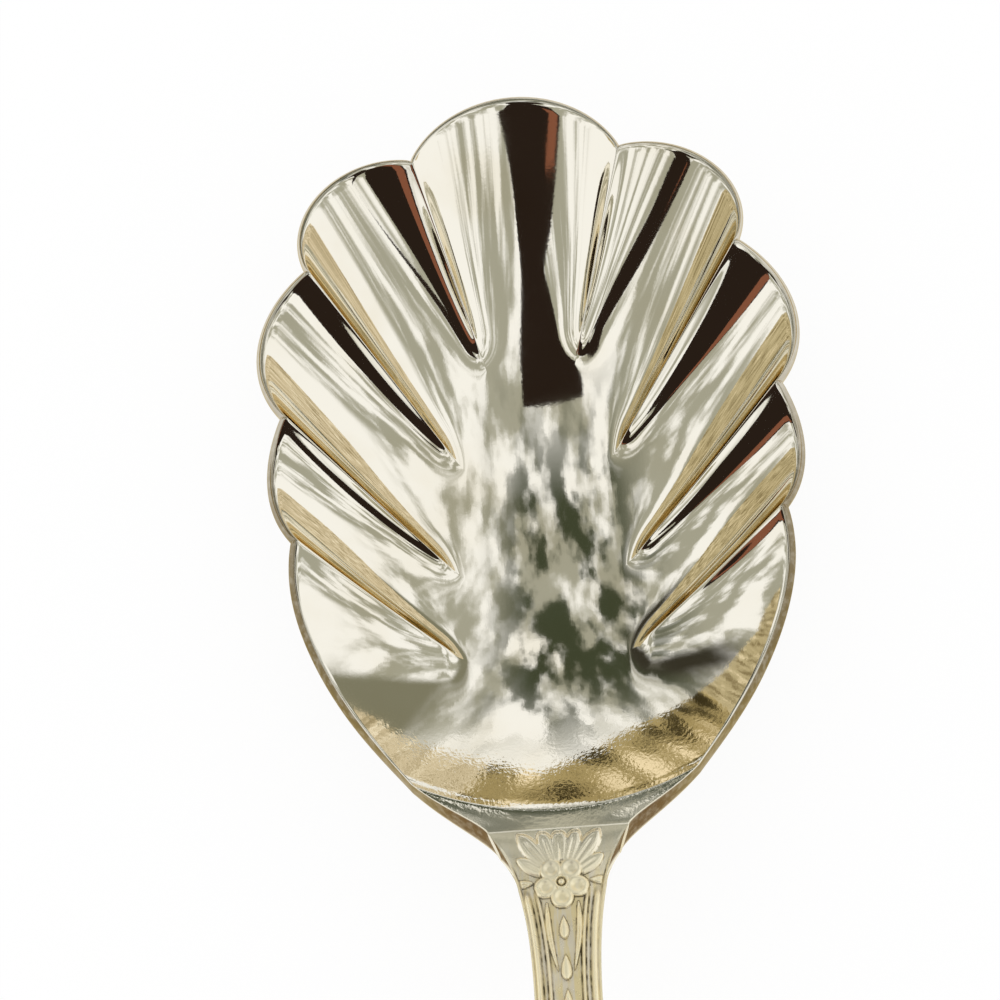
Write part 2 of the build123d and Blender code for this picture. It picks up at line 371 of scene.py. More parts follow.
def floor_normal(x, y):
    across = (x / FLOOR_HALF_WIDTH) ** 2
    share = y / FLOOR_HALF_LENGTH
    lengthwise = share**2 * (1 - TIP_FLATTENING * share)
    slope_x = 2 * x / FLOOR_HALF_WIDTH**2 * (1 - FLOOR_SQUARENESS * lengthwise)
    slope_y = (2 * share - 3 * TIP_FLATTENING * share**2) / FLOOR_HALF_LENGTH
    slope_y = slope_y * (1 - FLOOR_SQUARENESS * across)
    normal = stack(-FLOOR_DEPTH * slope_x, -FLOOR_DEPTH * slope_y, np.ones_like(x))
    return normal / np.linalg.norm(normal, axis=-1, keepdims=True)


def metal(top):
    """Step from the upper face to the under face, thicker and more upright towards the heel."""
    heel = 1 / (1 + np.exp((top[..., 1] + HEEL_THICKENING_AT) / HEEL_THICKENING_RUN))[..., None]
    step = (1 - heel) * floor_normal(top[..., 0], top[..., 1]) + heel * np.array([0.0, 0.0, 1.0])
    step = step / np.linalg.norm(step, axis=-1, keepdims=True)
    return step * (SHEET + (HEEL_THICKNESS - SHEET) * heel)


def ridge_growth(out):
    """Share of a ridge's full height, from its inner end at 0 to the rim at 1."""
    return out * (1 + RIDGE_FULLNESS * (1 - out)) * smooth_step(out / RIDGE_RUN_IN)


def softened(profile, distance, steepness):
    """Takes the sharp top off a crest, so that both of its sides meet level."""
    return profile - CREST_DROP * np.exp(-distance * steepness / CREST_DROP)


def flute(ends, rims, heights, bulge, out):
    """One flute: a hollow between two ridges, narrow-crested at the inner end and round at the rim."""
    across, out = np.meshgrid(ACROSS, out, indexing="ij")
    inner = along(ends[0], ends[1], across)
    rim = arc_between(rims[0], rims[1], bulge, across)
    plan = (1 - out[..., None]) * inner + out[..., None] * rim
    side = np.abs(2 * across - 1)
    hollow = out * side**RIM_HOLLOW + (1 - out) * side**END_HOLLOW
    hollow = softened(hollow, 1 - side, RIM_HOLLOW * out + END_HOLLOW * (1 - out))
    height = heights[0] + (heights[1] - heights[0]) * across
    z = floor_height(plan[..., 0], plan[..., 1]) + height * ridge_growth(out) * hollow
    return stack(plan[..., 0], plan[..., 1], z)


def heel_point(share):
    """Points on the arc where the hollow of the bowl ends, from the left corner to the right one."""
    return arc_between(left_of(HEEL_CORNER), HEEL_CORNER, -HEEL_ARC, share)


def heel_round(plan, heel):
    """How far the edge at the heel arc is rounded down, by distance from the arc."""
    distance = np.linalg.norm(plan - heel, axis=-1)
    return HEEL_DROP * np.exp(-distance / HEEL_ROUND)


def plain_side(out):
    """The smooth wall between the last ridge and the heel."""
    out, down = np.meshgrid(out, DOWN, indexing="ij")
    ridge = along(RIDGE_END[-1], RIDGE_RIM[-1], out)
    heel = heel_point(1 - HEEL_STRIP * (1 - out))
    rim = cubic(RIDGE_RIM[-1], SIDE_SWELL, SIDE_CLOSE, HEEL_CORNER, down)
    swell = rim - along(RIDGE_RIM[-1], HEEL_CORNER, down)
    plan = (1 - down[..., None]) * ridge + down[..., None] * heel + out[..., None] * swell
    fade = out * (1 - down) ** RIM_FALL + (1 - out) * (1 - down) ** END_FALL
    fade = softened(fade, down, RIM_FALL * out + END_FALL * (1 - out))
    z = floor_height(plan[..., 0], plan[..., 1]) + RIDGE_HEIGHT[-1] * ridge_growth(out) * fade
    return stack(plan[..., 0], plan[..., 1], z - heel_round(plan, heel))


def middle_strip(upper, lower):
    """Smooth floor between a left and right ridge end and the next pair."""
    across, down = np.meshgrid(ACROSS, ACROSS, indexing="ij")
    plan = (1 - down[..., None]) * along(left_of(upper), upper, across)
    plan = plan + down[..., None] * along(left_of(lower), lower, across)
    return stack(plan[..., 0], plan[..., 1], floor_height(plan[..., 0], plan[..., 1]))


def heel_strip():
    """Smooth floor from the last pair of ridge ends to the heel arc."""
    across, down = np.meshgrid(ACROSS, DOWN, indexing="ij")
    heel = heel_point(HEEL_STRIP + (1 - 2 * HEEL_STRIP) * across)
    upper = along(left_of(RIDGE_END[-1]), RIDGE_END[-1], across)
    plan = (1 - down[..., None]) * upper + down[..., None] * heel
    z = floor_height(plan[..., 0], plan[..., 1]) - heel_round(plan, heel)
    return stack(plan[..., 0], plan[..., 1], z)


def joint_z():
    return floor_height(0.0, HEEL_CORNER[1] - HEEL_ARC) + JOINT_RISE


def neck_belly(side):
    return NECK_EDGE + (NECK_THICKNESS - NECK_EDGE) * (1 - side**2)


def neck_width(reach):
    """Half width of the handle at a distance from the joint, as far as the throat."""
    return blend(NECK_HALF_WIDTH, THROAT_HALF_WIDTH, NECK_TAPER, THROAT_TAPER, THROAT_AT, reach / THROAT_AT)


def under_joint(side):
    """Step from the upper edge of the scarf to its under edge."""
    belly = neck_belly(side)
    narrowing = NECK_HALF_WIDTH - neck_width(SCARF_SLOPE * NECK_EDGE)
    return stack(side * narrowing, SCARF_SLOPE * belly, belly)


def heel_lip(share):
    """Nearly flat lip from the heel arc to the joint; returns its upper and under points."""
    share, down = np.meshgrid(share, LIP, indexing="ij")
    heel = heel_point(share)
    side = 2 * share - 1
    joint = np.stack([side * NECK_HALF_WIDTH, np.full_like(side, JOINT_Y)], axis=-1)
    plan = (1 - down[..., None]) * heel + down[..., None] * joint
    corner = (NECK_HALF_WIDTH, JOINT_Y)
    shoulder_in = (NECK_HALF_WIDTH - NECK_TAPER * SHOULDER_EASE, JOINT_Y + SHOULDER_EASE)
    swell = cubic(HEEL_CORNER, SHOULDER_OUT, shoulder_in, corner, down) - along(HEEL_CORNER, corner, down)
    outward = np.clip((np.abs(side) - 1) / HEEL_STRIP / 2 + 1, 0, 1)
    plan = plan + outward[..., None] * swell * np.stack([np.sign(side), np.ones_like(side)], axis=-1)
    heel_z = floor_height(heel[..., 0], heel[..., 1])
    last_run = heel[..., 1] - JOINT_Y - outward * (HEEL_CORNER[1] - JOINT_Y - 3 * SHOULDER_EASE)
    climb = joint_z() - heel_z
    z = blend(heel_z, joint_z(), climb, NECK_CLIMB * last_run, 1.0, down) - heel_round(plan, heel)
    top = stack(plan[..., 0], plan[..., 1], z)
    at_heel = metal(stack(heel[..., 0], heel[..., 1], heel_z))
    return top, top - (1 - down[..., None]) * at_heel - down[..., None] * under_joint(side)


def rounded_rim(top, under, gap):
    """Strip that closes two sheets along their rims, bulging out by the gap."""
    angle = np.linspace(0, np.pi, RIM_STEPS + 1)[:, None]
    rise = np.sign(np.cos(angle)) * np.abs(np.cos(angle)) ** RIM_SQUARENESS
    reach = np.sin(angle) ** RIM_SQUARENESS
    middle, half = (top + under) / 2, (top - under) / 2
    return middle[:, None] + rise * half[:, None] + reach * gap[:, None]


def rim_wear_and_shade(strip):
    """Worn plate and painted shade over a rounded rim, darkening its side wall: none at its upper and under
    edges, and most towards the heel.
    """
    share = np.linspace(0, 1, strip.shape[1])
    over_round = smooth_step((share - WEAR_AND_SHADE_START) / WEAR_AND_SHADE_START_RUN)
    over_round = over_round * smooth_step((WEAR_AND_SHADE_STOP - share) / WEAR_AND_SHADE_STOP_RUN)
    towards_heel = smooth_step((FULL_WEAR_AND_SHADE_Y - strip[..., 1]) / WEAR_AND_SHADE_RUN + 1)
    return over_round * (TIP_WEAR_AND_SHADE + (1 - TIP_WEAR_AND_SHADE) * towards_heel)


def rim_gap(top, under, top_edge, under_edge):
    """How far two sheets stop short of the edge that they would reach."""
    return (top_edge - top + under_edge - under) / 2


def add_sheet(sheets, top, edge_top=None, side=None):
    """Keeps an upper sheet, its under sheet and, where it has a rim, the round between them."""
    under = top - metal(top)
    sheets += [Patch(top, peel=HEEL_PEEL * smooth_step((PEEL_FROM - top[..., 1]) / PEEL_RUN)), Patch(under)]
    if edge_top is not None:
        rim, rim_under = np.take(top, -1, axis=side), np.take(under, -1, axis=side)
        gap = rim_gap(rim, rim_under, edge_top, edge_top - metal(edge_top))
        strip = rounded_rim(rim, rim_under, gap)
        sheets.append(Patch(strip, wear=rim_wear_and_shade(strip)))


def bowl_sheets():
    """All patches of the bowl."""
    sheets = []
    full = np.array([1.0])
    tip = ([left_of(RIDGE_END[0]), RIDGE_END[0]], [left_of(RIDGE_RIM[0]), RIDGE_RIM[0]],
           [RIDGE_HEIGHT[0], RIDGE_HEIGHT[0]], LOBE_BULGE[0])
    add_sheet(sheets, flute(*tip, OUT), flute(*tip, full)[:, 0], side=1)
    for k in range(len(RIDGE_RIM) - 1):
        pair = slice(k, k + 2)
        lobe = (RIDGE_END[pair], RIDGE_RIM[pair], RIDGE_HEIGHT[pair], LOBE_BULGE[k + 1])
        right, edge = flute(*lobe, OUT), flute(*lobe, full)[:, 0]
        add_sheet(sheets, right, edge, side=1)
        add_sheet(sheets, mirrored(right), mirrored(edge), side=1)
    wall, edge = plain_side(OUT), plain_side(full)[0]
    add_sheet(sheets, wall, edge, side=0)
    add_sheet(sheets, mirrored(wall), mirrored(edge), side=0)
    for upper, lower in zip(RIDGE_END, RIDGE_END[1:]):
        add_sheet(sheets, middle_strip(upper, lower))
    add_sheet(sheets, heel_strip())
    lip_film = JOINT_FILM * smooth_step(LIP / FILM_LIP)
    finish = dict(peel=LIP_PEEL + (HANDLE_PEEL - LIP_PEEL) * LIP**2, rub=1.0, film=lip_film)
    sheets += [Patch(grid, **finish) for grid in heel_lip(HEEL_STRIP + (1 - 2 * HEEL_STRIP) * ACROSS)]
    top, under = heel_lip(1 - HEEL_STRIP * (1 - OUT))
    edge_top, edge_under = heel_lip(full)
    gap = rim_gap(top[-1], under[-1], edge_top[0], edge_under[0])
    strip = rounded_rim(top[-1], under[-1], gap)
    for grid in (top, under):
        sheets += [Patch(side, **finish) for side in (grid, mirrored(grid))]
    wear = rim_wear_and_shade(strip)
    sheets += [Patch(side, wear=wear, rub=1.0, film=lip_film[:, None]) for side in (strip, mirrored(strip))]
    return sheets


# The handle


def stations():
    """Places along the handle with its sizes there."""
    joint = dict(at=0.0, width=NECK_HALF_WIDTH, flare=NECK_TAPER, z=joint_z(), climb=NECK_CLIMB,
                 middle=NECK_THICKNESS, edge=NECK_EDGE)
    throat = dict(at=THROAT_AT, width=THROAT_HALF_WIDTH, flare=THROAT_TAPER, z=joint_z() + THROAT_RISE,
                  climb=THROAT_CLIMB, middle=THROAT_THICKNESS, edge=THROAT_EDGE)
    waist = dict(at=WAIST_AT, width=WAIST_HALF_WIDTH, flare=0.0, z=joint_z() + WAIST_RISE,
                 climb=WAIST_CLIMB, middle=WAIST_THICKNESS, edge=WAIST_EDGE)
    grip = dict(at=HANDLE_LENGTH - GRIP_BACK, width=GRIP_HALF_WIDTH, flare=GRIP_FLARE, z=GRIP_HEIGHT,
                climb=GRIP_DROP, middle=GRIP_THICKNESS, edge=GRIP_EDGE)
    spread = dict(at=HANDLE_LENGTH - SPREAD_BACK, width=SPREAD_HALF_WIDTH, flare=0.0, z=SPREAD_HEIGHT,
                  climb=SPREAD_DROP, middle=SPREAD_THICKNESS, edge=SPREAD_EDGE)
    end = dict(at=HANDLE_LENGTH - END_BULGE, width=END_HALF_WIDTH, flare=END_TAPER, z=END_THICKNESS,
               climb=END_DROP, middle=END_THICKNESS, edge=END_EDGE)
    return [joint, throat, waist, grip, spread, end]


def handle_sizes(at):
    """Half width, height, middle thickness, edge thickness and end bulge share at places along it."""
    sizes = [np.zeros_like(at) for _ in range(5)]
    places = stations()
    for near, far in zip(places, places[1:]):
        here = (at >= near["at"]) & (at <= far["at"])
        run = far["at"] - near["at"]
        share = (at[here] - near["at"]) / run
        sizes[0][here] = blend(near["width"], far["width"], near["flare"], far["flare"], run, share)
        sizes[1][here] = blend(near["z"], far["z"], near["climb"], far["climb"], run, share)
        sizes[2][here] = blend(near["middle"], far["middle"], 0.0, 0.0, run, share)
        sizes[3][here] = blend(near["edge"], far["edge"], 0.0, 0.0, run, share)
        sizes[4][here] = share if far is places[-1] else 0.0
    return sizes


def leaf(x, v, base, heading, length, half_width, curl=0.0, shape=FAN_SHAPE):
    """Leaf with a vein, broadest near its tip; heading 0 points at the bowl, and v grows away from it."""
    turn = math.radians(heading)
    share = ((x - base[0]) * math.sin(turn) - (v - base[1]) * math.cos(turn)) / length
    off = (x - base[0]) * math.cos(turn) + (v - base[1]) * math.sin(turn) - curl * length * share**2
    inside = np.clip(share, 0, 1)
    breadth = half_width * np.sin(np.pi * inside**shape) ** LEAF_FULLNESS + TINY
    spread = np.clip(np.abs(off) / breadth, 0, 1)
    body = np.sqrt(1 - spread**LEAF_SQUARENESS) * (1 - LEAF_FALL * spread**2)
    groove = np.exp(-((off / (VEIN_WIDTH * half_width)) ** 2))
    vein = VEIN_DEPTH * groove * smooth_step((VEIN_END - share) / VEIN_RUN)
    return body * (1 - vein) * ((share > 0) & (share < 1))


def flower(x, v, centre, radius):
    """Five round petals with curled edges about a ringed boss, one petal pointing away from the bowl."""
    distance = np.hypot(x - centre[0], v - centre[1]) / radius
    turn = np.arctan2(x - centre[0], v - centre[1])
    petals = []
    for k in range(PETALS):
        away = turn - 2 * np.pi * k / PETALS
        outward, sideways = distance * np.cos(away), distance * np.sin(away)
        groove = np.exp(-((sideways / NOTCH_WIDTH) ** 2))
        notch = NOTCH_DEPTH * groove * smooth_step((outward - NOTCH_START) / NOTCH_RUN)
        oval = np.hypot((outward - PETAL_MIDDLE) / PETAL_HALF_LENGTH, sideways / PETAL_HALF_WIDTH)
        spread = np.clip(oval + notch, 0, 1)
        cup = 1 - PETAL_CUP + PETAL_CUP * smooth_step((spread - CUP_START) / CUP_RUN)
        petals.append(cup * np.sqrt(1 - spread**PETAL_SQUARENESS))
    rosette = np.max(petals, axis=0) * smooth_step((distance - HEART_RADIUS) / HEART_RUN)
    ring = np.clip(1 - (np.abs(distance - RING_RADIUS) / RING_HALF_WIDTH) ** 2, 0, 1)
    boss = BOSS_HEIGHT * np.sqrt(np.clip(1 - (distance / BOSS_RADIUS) ** 2, 0, 1))
    return np.maximum.reduce([rosette, ring, boss])


def bud(x, v, top, length, half_width):
    """Drop with its point towards the bowl and its round end away from it."""
    share = np.clip((v - top[1]) / length, 0, 1)
    breadth = half_width * BUD_FULLNESS * share * np.sqrt(1 - share) + TINY
    return np.sqrt(np.clip(1 - ((x - top[0]) / breadth) ** 2, 0, 1)) * ((share > 0) & (share < 1))


def outside(x, v, centre, radius):
    """1 outside a circle, falling to 0 within it."""
    distance = np.hypot(x - centre[0], v - centre[1]) / radius
    return smooth_step((distance - FAN_START) / FAN_START_RUN)


def neck_spray(x, v):
    """Height of the ornament behind the joint above its sunk field."""
    heart = (0.0, FLOWER_AT)
    fan = []
    for heading, length, half_width in FAN:
        for side in (-1, 1):
            fan.append(LEAF_HEIGHT * leaf(x, v, heart, side * heading, length, half_width, -side * FAN_CURL))
    shapes = [np.max(fan, axis=0) * outside(x, v, heart, FLOWER_RADIUS)]
    shapes.append(FLOWER_HEIGHT * flower(x, v, heart, FLOWER_RADIUS))
    for beside, behind, heading, length, half_width, curl in BLADES:
        for side in (-1, 1):
            base = (side * beside, FLOWER_AT + behind)
            blade = leaf(x, v, base, side * heading, length, half_width, side * curl, BLADE_SHAPE)
            shapes.append(LEAF_HEIGHT * blade)
    for behind, length, half_width in BUDS:
        shapes.append(BUD_HEIGHT * bud(x, v, (0.0, FLOWER_AT + behind), length, half_width))
    return np.max(shapes, axis=0)


def end_spray(x, v):
    """Height of the ornament at the handle's end above its sunk field."""
    x = x / END_SPRAY_SCALE
    v = (v - HANDLE_LENGTH + END_SPRAY_BACK) / END_SPRAY_SCALE
    heart = (0.0, 0.0)
    fan = []
    for heading, length, half_width in END_FAN:
        for side in (-1, 1):
            fan.append(LEAF_HEIGHT * leaf(x, v, heart, side * heading, length, half_width))
    shapes = [np.max(fan, axis=0) * outside(x, v, heart, FLOWER_RADIUS)]
    shapes.append(FLOWER_HEIGHT * flower(x, v, heart, FLOWER_RADIUS))
    behind, length, half_width = END_BUD
    shapes.append(BUD_HEIGHT * bud(x, v, (0.0, behind), length, half_width))
    return np.max(shapes, axis=0)


def threads(from_edge):
    """Height of the reeding along the edges, by distance in from an edge."""
    lines = []
    for at, half_width, share in THREADS:
        lines.append(share * np.cos(np.clip((from_edge - at) / half_width, -1, 1) * np.pi / 2) ** 2)
    return THREAD_HEIGHT * np.max(lines, axis=0)


def ornament(x, v, width):
    """Height of everything struck into the handle's upper face, with threads along the edges."""
    from_edge = width - np.abs(x)
    to_end = HANDLE_LENGTH - v
    inside = smooth_step(from_edge / FIELD_EDGE) * smooth_step((to_end - FIELD_END) / FIELD_END_RUN)
    sunk = FIELD_DEPTH * smooth_step(v / FIELD_RAMP)
    reeded = smooth_step((v - THREAD_START) / THREAD_RUN) * smooth_step((to_end - THREAD_END) / THREAD_RUN)
    raised = np.maximum(neck_spray(x, v), end_spray(x, v))
    raised = raised * smooth_step((from_edge - MOTIF_INSET) / MOTIF_RUN)
    raised = np.maximum(raised, reeded * threads(from_edge)) * smooth_step(v / RAISED_RAMP)
    return inside * (raised - sunk)


def handle_rows():
    """Places along the handle, close together where it carries ornament."""
    last = HANDLE_LENGTH - END_BULGE - HANDLE_ROUND
    end_ornament = HANDLE_LENGTH - END_ORNAMENT_BACK
    neck = np.arange(0, ORNAMENT_LENGTH, NECK_STEP)
    plain = np.arange(ORNAMENT_LENGTH, end_ornament, PLAIN_STEP)
    end = np.arange(end_ornament, last, END_STEP)
    return np.concatenate([neck, plain, end, [last]])


def handle_surfaces():
    """Upper and under points of the handle, and the height of the ornament at the upper ones."""
    even = np.linspace(-1, 1, HANDLE_COLUMNS)
    columns = (1 - EDGE_CROWDING) * even + EDGE_CROWDING * np.sin(even * np.pi / 2)
    at, column = np.meshgrid(handle_rows(), columns, indexing="ij")
    width, z, middle, edge, ending = handle_sizes(at)
    at_joint = NECK_HALF_WIDTH * HEEL_STRIP * (1 - RIM_START) * 2
    inset = at_joint + (HANDLE_ROUND - at_joint) * (1 - np.exp(-at / HANDLE_ROUND_RUN))
    x = column * (width - inset)
    side = x / width
    reach = at + ending * END_BULGE * (1 - side**2)
    y = JOINT_Y - BRAZE - reach
    height = ornament(x, reach, width - inset)
    fall = CROWN * side**2 * smooth_step(at / CROWN_RUN)
    belly = edge + (middle - edge) * (1 - side**2)
    scarf = np.clip(1 - at / THROAT_AT, 0, 1)[..., None]
    upright = stack(np.zeros_like(belly), np.zeros_like(belly), belly)
    under = stack(x, y, z) - scarf * under_joint(side) - (1 - scarf) * upright
    return stack(x, y, z - fall + height), under, height, inset


def outline_normals(loop):
    """Unit vectors square to a plan outline, to the right of travel."""
    run = np.gradient(loop[:, :2], axis=0)
    normal = np.stack([run[:, 1], -run[:, 0]], axis=-1)
    normal = normal / np.linalg.norm(normal, axis=-1, keepdims=True)
    return np.concatenate([normal, np.zeros((len(loop), 1))], axis=-1)


def round_the_edge(grid):
    """Left edge, end row and right edge of a grid, as one line of values."""
    return np.concatenate([grid[:, 0], grid[-1, 1:-1], grid[::-1, -1]])


def grime(points, height):
    """Where dirt and tarnish settle in the ornament: the sunk field and the foot of every step."""
    fall_v = np.gradient(height, axis=0) / (np.abs(np.gradient(points[..., 1], axis=0)) + TINY)
    fall_x = np.gradient(height, axis=1) / (np.abs(np.gradient(points[..., 0], axis=1)) + TINY)
    steep = np.clip(np.hypot(fall_v, fall_x) / STEEP, 0, 1)
    low = np.clip(GRIME_GROWTH * (-height / FIELD_DEPTH - GRIME_START), 0, 1)
    return np.clip(FIELD_GRIME * low + STEP_GRIME * steep * low, 0, 1)


# Meshes


def grid_faces(rows, columns, first):
    """Four-cornered faces of a grid of points numbered from first."""
    corner = first + np.arange(rows - 1)[:, None] * columns + np.arange(columns - 1)[None]
    corners = [corner, corner + 1, corner + columns + 1, corner + columns]
    return np.stack(corners, axis=-1).reshape(-1, 4).tolist()


def piece_from(name, patches):
    """One closed mesh from patches, which keeps their values as point attributes."""
    faces = []
    first = 0
    for patch in patches:
        rows, columns = patch.points.shape[:2]
        faces += grid_faces(rows, columns, first)
        first += rows * columns
    points = np.concatenate([patch.points.reshape(-1, 3) for patch in patches])
    values = {label: spread_over(patches, label) for label in ("wear", "grime", "peel", "rub", "film")}
    points[:, 2] = np.maximum(points[:, 2], 0.0)
    points = points * MM + np.array([0.0, BOWL_AT, 0.0])
    mesh = bpy.data.meshes.new(name)
    mesh.from_pydata(points.tolist(), [], faces)
    for label, share in values.items():
        layer = mesh.attributes.new(label, "FLOAT", "POINT")
        layer.data.foreach_set("value", share.astype(np.float32))
    close_up(mesh)
    piece = bpy.data.objects.new(name, mesh)
    bpy.context.scene.collection.objects.link(piece)
    return piece


def spread_over(patches, label):
    """One value for each point of the patches."""
    shares = []
    for patch in patches:
        share = np.broadcast_to(getattr(patch, label), patch.points.shape[:2])
        shares.append(share.ravel())
    return np.concatenate(shares)


def close_up(mesh):
    """Welds the patches of a mesh, fills what is left open, and shades it smooth outside a fold."""
    work = bmesh.new()
    work.from_mesh(mesh)
    bmesh.ops.remove_doubles(work, verts=work.verts, dist=WELD)
    bmesh.ops.dissolve_degenerate(work, edges=work.edges, dist=SLIVER)
    rims = [edge for edge in work.edges if edge.is_boundary]
    bmesh.ops.holes_fill(work, edges=rims, sides=0)
    bmesh.ops.recalc_face_normals(work, faces=work.faces)
    work.to_mesh(mesh)
    work.free()
    mesh.shade_smooth()
    mesh.set_sharp_from_angle(angle=math.radians(FOLD_DEGREES))


def make_bowl():
    return piece_from("fluted_bowl", bowl_sheets())


def make_handle():
    top, under, height, inset = handle_surfaces()
    dirt = grime(top, height)
    loop = round_the_edge(top)
    gap = outline_normals(loop) * round_the_edge(inset)[:, None]
    strip = rounded_rim(loop, round_the_edge(under), -gap)
    behind = loop[0, 1] - top[..., 1]
    rub = smooth_step((height + FIELD_DEPTH) / (FIELD_DEPTH + RUBBED_HEIGHT))
    rub = np.maximum(rub, 1 - behind / FIELD_RAMP)
    film = JOINT_FILM + (1 - JOINT_FILM) * smooth_step(behind / FILM_RUN)
    patches = [Patch(top, grime=dirt, peel=HANDLE_PEEL, rub=rub, film=film),
               Patch(under, peel=HANDLE_PEEL, rub=1.0, film=film),
               Patch(strip, wear=rim_wear_and_shade(strip), rub=1.0, film=round_the_edge(film)[:, None])]
    return piece_from("ornamented_handle", patches)


def make_braze_line():
    """The line of solder round the joint, swelling a little between bowl and handle."""
    loop = joint_loop()
    centre = loop.mean(axis=0)
    back = np.array([0.0, -BRAZE, 0.0])
    rings = [loop, centre + (loop - centre) * BRAZE_SWELL + back / 2, loop + back]
    return piece_from("braze_line", [Patch(np.array(rings), rub=1.0, film=JOINT_FILM)])


def joint_loop():
    """Points round the bowl's end of the joint."""
    shares = np.concatenate([HEEL_STRIP * (1 - OUT[::-1]), HEEL_STRIP + (1 - 2 * HEEL_STRIP) * ACROSS[1:-1],
                             1 - HEEL_STRIP * (1 - OUT)])
    top, under = [grid[:, -1] for grid in heel_lip(shares)]
    edge_top, edge_under = [grid[0, -1] for grid in heel_lip(np.array([1.0]))]
    gap = rim_gap(top[-1], under[-1], edge_top, edge_under)[None]
    right = rounded_rim(top[-1:], under[-1:], gap)[0]
    return np.concatenate([top, right[1:-1], under[::-1], mirrored(right[-2:0:-1]), top[:1]])


# Materials


class Graph:
    """A short way to add and join shader nodes."""

    def __init__(self, tree):
        self.tree = tree
        tree.nodes.clear()

    def put(self, socket, value):
        if isinstance(value, bpy.types.NodeSocket):
            self.tree.links.new(value, socket)
        else:
            socket.default_value = value

    def add(self, kind, inputs=None, **settings):
        node = self.tree.nodes.new("ShaderNode" + kind)
        for name, value in settings.items():
            setattr(node, name, value)
        for name, value in (inputs or {}).items():
            self.put(node.inputs[name], value)
        return node

    def math(self, operation, *values):
        node = self.add("Math", operation=operation)
        for socket, value in zip(node.inputs, values):
            self.put(socket, value)
        return node.outputs[0]

    def mix(self, share, first, second):
        node = self.add("Mix", {0: share, 6: first, 7: second}, data_type="RGBA")
        return node.outputs[2]

    def ramp(self, value, start, end, low=0.0, high=1.0):
        limits = {"Value": value, "From Min": start, "From Max": end, "To Min": low, "To Max": high}
        return self.add("MapRange", limits, interpolation_type="SMOOTHSTEP").outputs["Result"]

    def share_of(self, label):
        return self.add("Attribute", attribute_name=label).outputs["Fac"]

    def noise(self, vector, scale, detail=3.0, roughness=0.5):
        inputs = {"Vector": vector, "Scale": scale, "Detail": detail, "Roughness": roughness}
        return self.add("TexNoise", inputs).outputs["Fac"]

    def stretched(self, vector, scale, shift=(0.0, 0.0, 0.0)):
        return self.add("Mapping", {"Vector": vector, "Scale": scale, "Location": shift}).outputs["Vector"]


def colour(red, green, blue):
    return (red, green, blue, 1.0)


# Tints of the plate
POLISHED = colour(0.92, 0.885, 0.785)
SILVER_WARM = colour(0.78, 0.70, 0.52)
TARNISH = colour(0.05, 0.038, 0.014)
# Rim tints: worn plate and painted shade on the side walls of the bowl's and handle's rims
EDGE_WEAR_AND_SHADE = colour(0.21, 0.16, 0.08)
HANDLE_EDGE_WEAR_AND_SHADE = colour(0.15, 0.085, 0.035)
RECESS = colour(0.90, 0.77, 0.45)
RUBBED = colour(0.98, 0.90, 0.64)
EDGE_SHEEN = colour(0.8, 0.7, 0.5)

# Patterns of the plate: noise scales to the metre, the bands of noise that they are cut from, the least share
# that dirt and the rims' wear and painted shade keep, and the depth of the relief in millimetres
PATINA_SCALE = 140.0
PATINA_BAND = (0.45, 0.75)
PATINA_SHARE = 0.35
DRAWN_SCALE = (3200.0, 260.0, 900.0)
DRAWN_BAND = (0.42, 0.62)
PATCH_SCALE = 1400.0
DIRT_BAND = (0.35, 0.65)
DIRT_LEAST = 0.4
RIM_BAND = (0.3, 0.6)
RIM_LEAST = 0.82
JOINT_BAND = (0.0, 0.3)
SMEAR_SCALE = 260.0
SMEAR_BAND = (0.3, 0.7)
HAIRLINE_SCALE = (2600.0, 160.0, 900.0)
HAIRLINE_SHARE = 0.06
PEEL_SCALE = 3300.0
RELIEF_DEPTH = 0.014

# Roughness of the plate: the polish of bowl and handle, and what smears, worn rims, dirt and film add
BOWL_GLOSS = 0.03
HANDLE_GLOSS = 0.05
SMEAR_GAIN = 1.7
RIM_ROUGHNESS = 0.15
DIRT_ROUGHNESS = 0.25
FILM_ROUGHNESS = 0.2

# How much of its metal look the film takes away, and the grain of plate that isn't hammered
FILM_DULLNESS = 0.46
FINE_GRAIN = 0.05


def plate_tint(graph, place, base, dull, rubbed):
    """Polished silver that turns into the handle's dull film, under a light patina."""
    drawn = graph.ramp(graph.noise(graph.stretched(place, DRAWN_SCALE), 1.0), *DRAWN_BAND)
    film = graph.mix(rubbed, graph.mix(drawn, RECESS, base), RUBBED)
    patina = graph.ramp(graph.noise(place, PATINA_SCALE, detail=4.0), *PATINA_BAND, 0.0, PATINA_SHARE)
    return graph.mix(patina, graph.mix(dull, POLISHED, film), SILVER_WARM)


def plate_roughness(graph, place, gloss, additions):
    """Polish with smears, and what the additions, each a share and an amount, make of it."""
    smears = graph.noise(place, SMEAR_SCALE, detail=5.0, roughness=0.6)
    rough = graph.ramp(smears, *SMEAR_BAND, gloss, gloss * SMEAR_GAIN)
    for share, amount in additions:
        rough = graph.math("ADD", rough, graph.math("MULTIPLY", share, amount))
    return rough


def plate_normal(graph, place, hammered):
    """Hairlines along the spoon, and orange peel where the plate is hammered."""
    hairlines = graph.noise(graph.stretched(place, HAIRLINE_SCALE), 1.0, detail=2.0)
    peel = graph.noise(place, PEEL_SCALE, detail=2.0)
    peel = graph.math("MULTIPLY", peel, graph.ramp(hammered, 0.0, 1.0, FINE_GRAIN, 1.0))
    relief = graph.math("ADD", graph.math("MULTIPLY", hairlines, HAIRLINE_SHARE), peel)
    bump = graph.add("Bump", {"Height": relief, "Strength": 1.0, "Distance": RELIEF_DEPTH * MM})
    return bump.outputs["Normal"]


